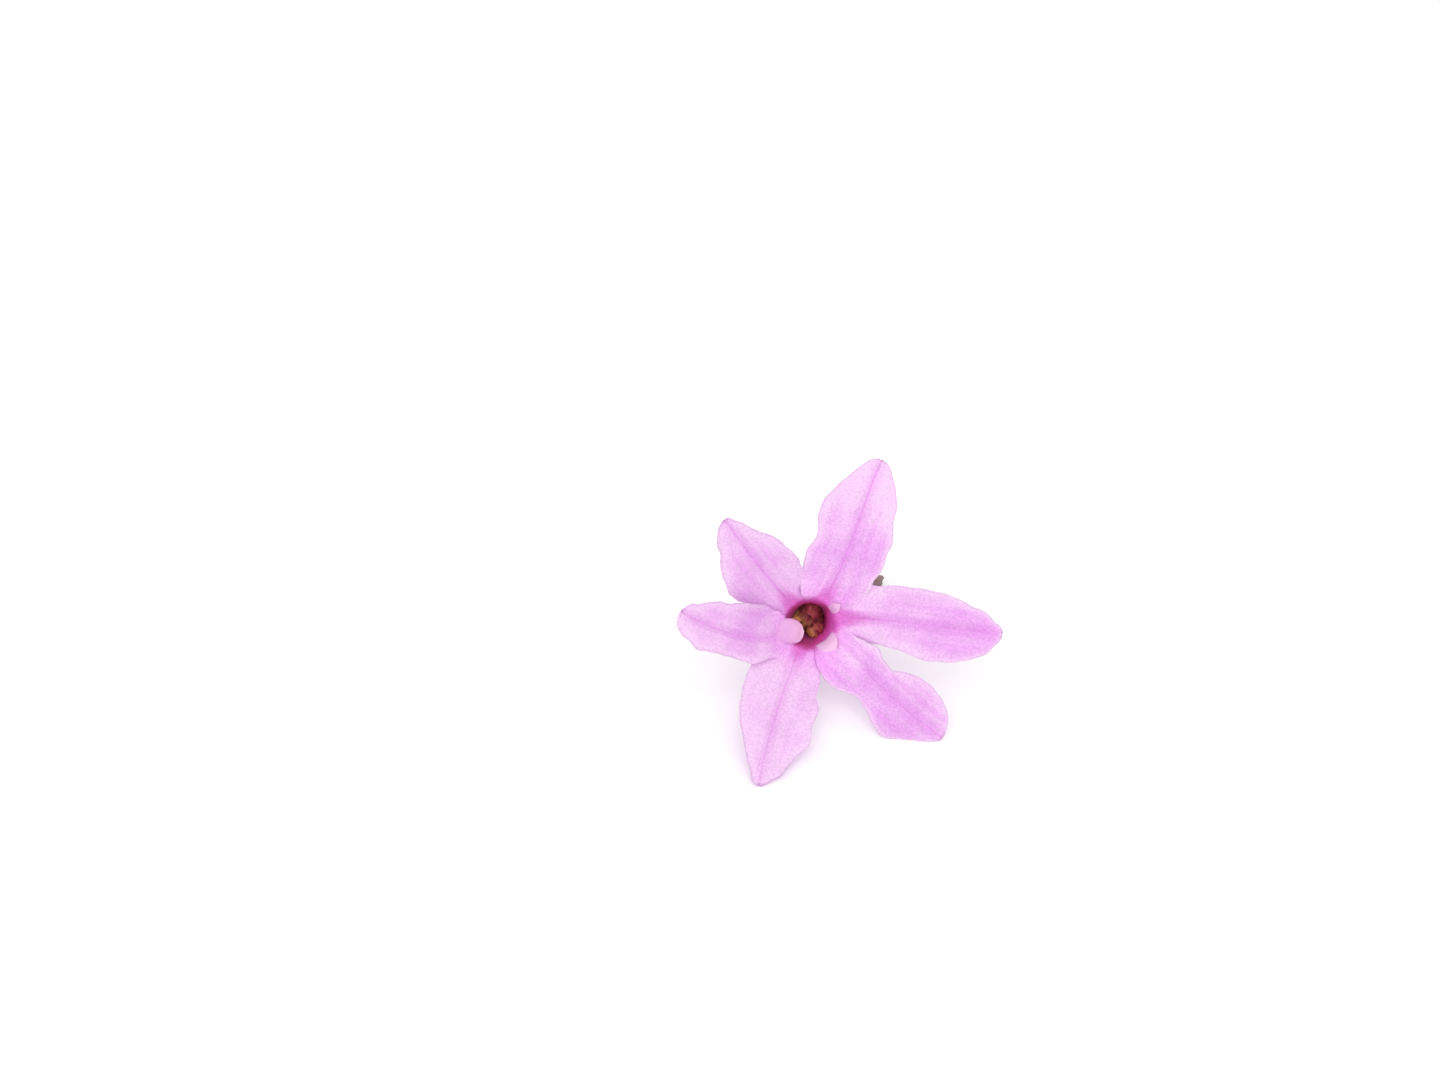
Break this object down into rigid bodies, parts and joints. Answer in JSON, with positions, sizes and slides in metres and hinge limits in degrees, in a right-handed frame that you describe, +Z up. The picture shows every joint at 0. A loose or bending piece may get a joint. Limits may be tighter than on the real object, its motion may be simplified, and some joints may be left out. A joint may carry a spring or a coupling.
{
  "type": "society garlic flower",
  "caption": "A single picked lilac society garlic flower lying on its side: a slim ribbed tube that opens into spreading tepals, with a short stalk.",
  "frame": {"origin": "the middle of the box round the whole flower, on the surface that it lies on", "axes": "+Z up from the surface; -Y is the side that the open mouth of the flower faces, and the stalk lies at the +Y end; +X to the right as the flower is looked into"},
  "size_m": [0.0232, 0.0252, 0.0185],
  "materials": {
    "petal": "satin",
    "pistil": "satin",
    "stalk": "matte"
  },
  "bodies": {
    "root": {"perianth": "petal", "pistil": "pistil", "pedicel": "stalk"}
  },
  "joints": []
}
